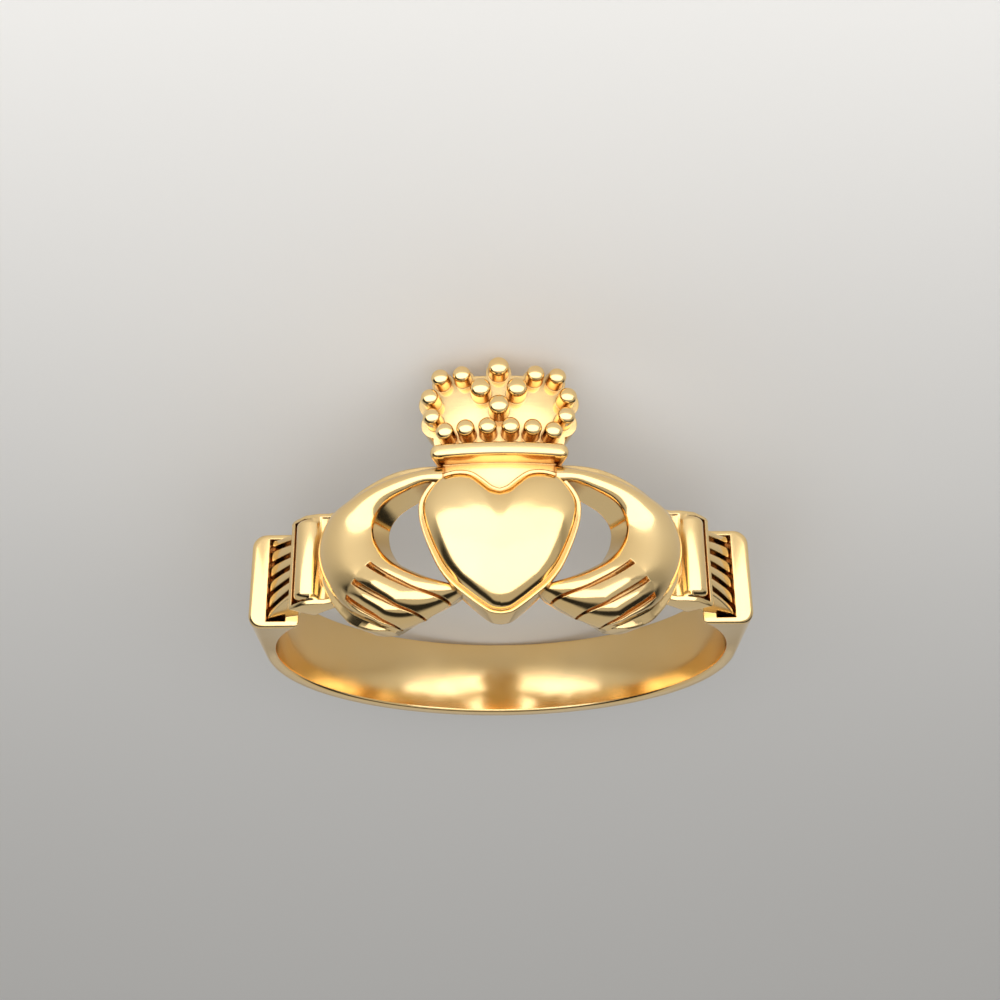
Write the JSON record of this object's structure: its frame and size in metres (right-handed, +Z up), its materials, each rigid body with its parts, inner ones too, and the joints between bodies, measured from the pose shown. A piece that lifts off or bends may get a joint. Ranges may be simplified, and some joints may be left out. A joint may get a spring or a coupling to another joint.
{
  "type": "claddagh ring",
  "caption": "Claddagh finger ring cast in one piece: two cuffed hands hold a domed heart under a beaded crown, on a plain band.",
  "frame": {"origin": "middle of the ring's box, on the surface that it lies on", "axes": "+Z up from the surface; +Y from the heart towards the back of the band; +X across the ring, so the plane X = 0 mirrors it"},
  "size_m": [0.0184, 0.021, 0.0092],
  "materials": {
    "gold": "polished"
  },
  "bodies": {
    "root": {"ring": "gold"}
  },
  "joints": []
}
